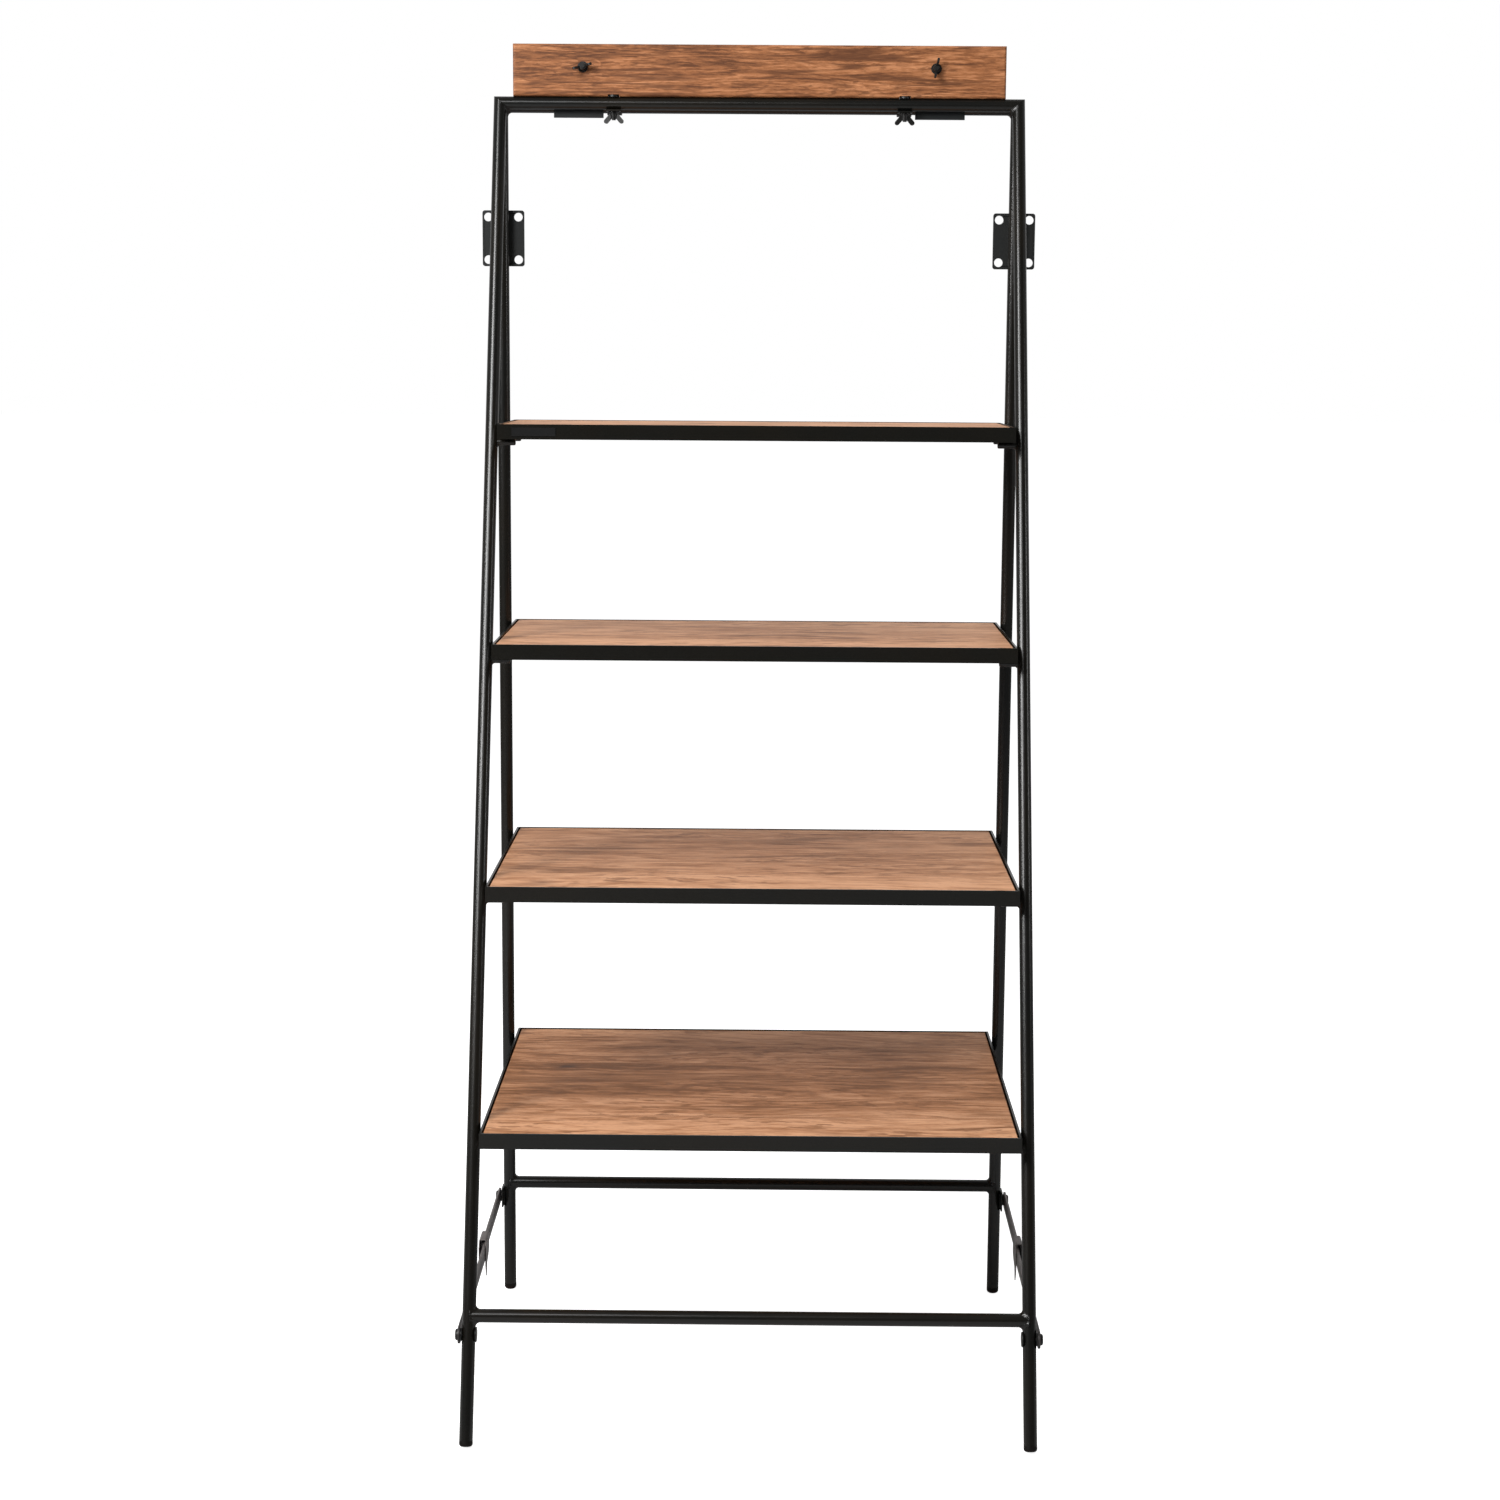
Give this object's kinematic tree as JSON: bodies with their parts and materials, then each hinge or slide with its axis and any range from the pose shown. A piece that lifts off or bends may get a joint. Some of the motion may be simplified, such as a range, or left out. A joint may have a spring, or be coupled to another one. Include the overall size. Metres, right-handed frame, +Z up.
{
  "type": "ladder shelf",
  "caption": "Folding ladder shelf: leaning and upright black steel tube frames, wooden shelves in steel rims, hinged spreader arms and a header board.",
  "frame": {"origin": "on the floor, in the middle of the bounding box", "axes": "+X along the shelves to the right as seen from the front, +Y to the wall, +Z up"},
  "size_m": [0.844, 0.6759, 1.956],
  "materials": {
    "frame_steel": "satin",
    "foot_cap": "matte",
    "arm_steel": "satin",
    "hardware": "semi-gloss",
    "blank_plate": "gloss",
    "wood": "satin"
  },
  "bodies": {
    "rear_frame": {"rear_top_bar": "frame_steel", "rear_cross_bar": "frame_steel", "rear_leg_left": "frame_steel", "rear_pegs_left": "frame_steel", "wall_plate_left": "frame_steel", "arm_tab_left": "frame_steel", "rear_foot_left": "foot_cap", "rear_leg_right": "frame_steel", "rear_pegs_right": "frame_steel", "wall_plate_right": "frame_steel", "arm_tab_right": "frame_steel", "rear_foot_right": "foot_cap", "arm_rear_washers": "hardware", "arm_rear_bolts": "hardware"},
    "front_frame": {"front_top_bar": "frame_steel", "front_cross_bar": "frame_steel", "front_leg_left": "frame_steel", "front_pegs_left": "frame_steel", "front_foot_left": "foot_cap", "hinge_strap_left": "frame_steel", "header_bracket_left": "frame_steel", "front_leg_right": "frame_steel", "front_pegs_right": "frame_steel", "front_foot_right": "foot_cap", "hinge_strap_right": "frame_steel", "header_bracket_right": "frame_steel", "clamp_bolts": "hardware", "clamp_washers": "hardware", "header_bolts": "hardware", "header_washers": "hardware", "arm_front_washers": "hardware", "arm_front_pins": "hardware", "arm_cap_nuts": "hardware", "header_board": "wood"},
    "shelf_1": {"shelf_1_rim": "frame_steel", "shelf_1_board": "wood", "blank_plate": "blank_plate"},
    "shelf_2": {"shelf_2_rim": "frame_steel", "shelf_2_board": "wood"},
    "shelf_3": {"shelf_3_rim": "frame_steel", "shelf_3_board": "wood"},
    "shelf_4": {"shelf_4_rim": "frame_steel", "shelf_4_board": "wood"},
    "rear_arm_left": {"rear_link_left": "arm_steel", "saddle_left": "arm_steel", "saddle_rivet_left": "hardware"},
    "front_arm_left": {"front_link_left": "arm_steel", "arm_front_head_left": "hardware"},
    "header_nut_left": {"header_wing_nut_left": "hardware"},
    "clamp_nut_left": {"clamp_wing_nut_left": "hardware"},
    "rear_arm_right": {"rear_link_right": "arm_steel", "saddle_right": "arm_steel", "saddle_rivet_right": "hardware"},
    "front_arm_right": {"front_link_right": "arm_steel", "arm_front_head_right": "hardware"},
    "header_nut_right": {"header_wing_nut_right": "hardware"},
    "clamp_nut_right": {"clamp_wing_nut_right": "hardware"}
  },
  "joints": [
    {"name": "fold", "type": "hinge", "parent": "rear_frame", "child": "front_frame", "pos_m": [0, 0.3025, 1.8665], "axis": [1, 0, 0], "range_deg": [0, 17.5]},
    {"name": "rear_arm_turn_left", "type": "hinge", "parent": "rear_frame", "child": "rear_arm_left", "pos_m": [-0.4064, 0.3025, 0.155], "axis": [1, 0, 0], "range_deg": [-78.96, 0]},
    {"name": "front_arm_turn_left", "type": "hinge", "parent": "rear_arm_left", "child": "front_arm_left", "pos_m": [-0.4031, 0.05953, 0.15127], "axis": [1, 0, 0], "range_deg": [0, 169.88]},
    {"name": "rear_arm_turn_right", "type": "hinge", "parent": "rear_frame", "child": "rear_arm_right", "pos_m": [0.4064, 0.3025, 0.155], "axis": [1, 0, 0], "range_deg": [-78.96, 0]},
    {"name": "front_arm_turn_right", "type": "hinge", "parent": "rear_arm_right", "child": "front_arm_right", "pos_m": [0.4031, 0.05953, 0.15127], "axis": [1, 0, 0], "range_deg": [0, 169.88]},
    {"name": "shelf_1_draw", "type": "slide", "parent": "rear_frame", "child": "shelf_1", "axis": [0, -1, 0], "range_m": [0, 0.269]},
    {"name": "shelf_2_draw", "type": "slide", "parent": "rear_frame", "child": "shelf_2", "axis": [0, -1, 0], "range_m": [0, 0.37]},
    {"name": "shelf_3_draw", "type": "slide", "parent": "rear_frame", "child": "shelf_3", "axis": [0, -1, 0], "range_m": [0, 0.478]},
    {"name": "shelf_4_draw", "type": "slide", "parent": "rear_frame", "child": "shelf_4", "axis": [0, -1, 0], "range_m": [0, 0.585]},
    {"name": "header_nut_turn_left", "type": "hinge", "parent": "front_frame", "child": "header_nut_left", "pos_m": [-0.265, 0.268, 1.922], "axis": [0, -1, 0], "continuous": true},
    {"name": "clamp_nut_turn_left", "type": "hinge", "parent": "front_frame", "child": "clamp_nut_left", "pos_m": [-0.219, 0.2785, 1.8558], "axis": [0, 0, -1], "continuous": true},
    {"name": "header_nut_turn_right", "type": "hinge", "parent": "front_frame", "child": "header_nut_right", "pos_m": [0.265, 0.268, 1.922], "axis": [0, -1, 0], "continuous": true},
    {"name": "clamp_nut_turn_right", "type": "hinge", "parent": "front_frame", "child": "clamp_nut_right", "pos_m": [0.219, 0.2785, 1.8558], "axis": [0, 0, -1], "continuous": true}
  ],
  "couplings": [
    {"joint": "rear_arm_turn_left", "follows": "fold", "ratio": -4.4832},
    {"joint": "front_arm_turn_left", "follows": "fold", "ratio": 9.6786},
    {"joint": "rear_arm_turn_right", "follows": "fold", "ratio": -4.4832},
    {"joint": "front_arm_turn_right", "follows": "fold", "ratio": 9.6786}
  ]
}
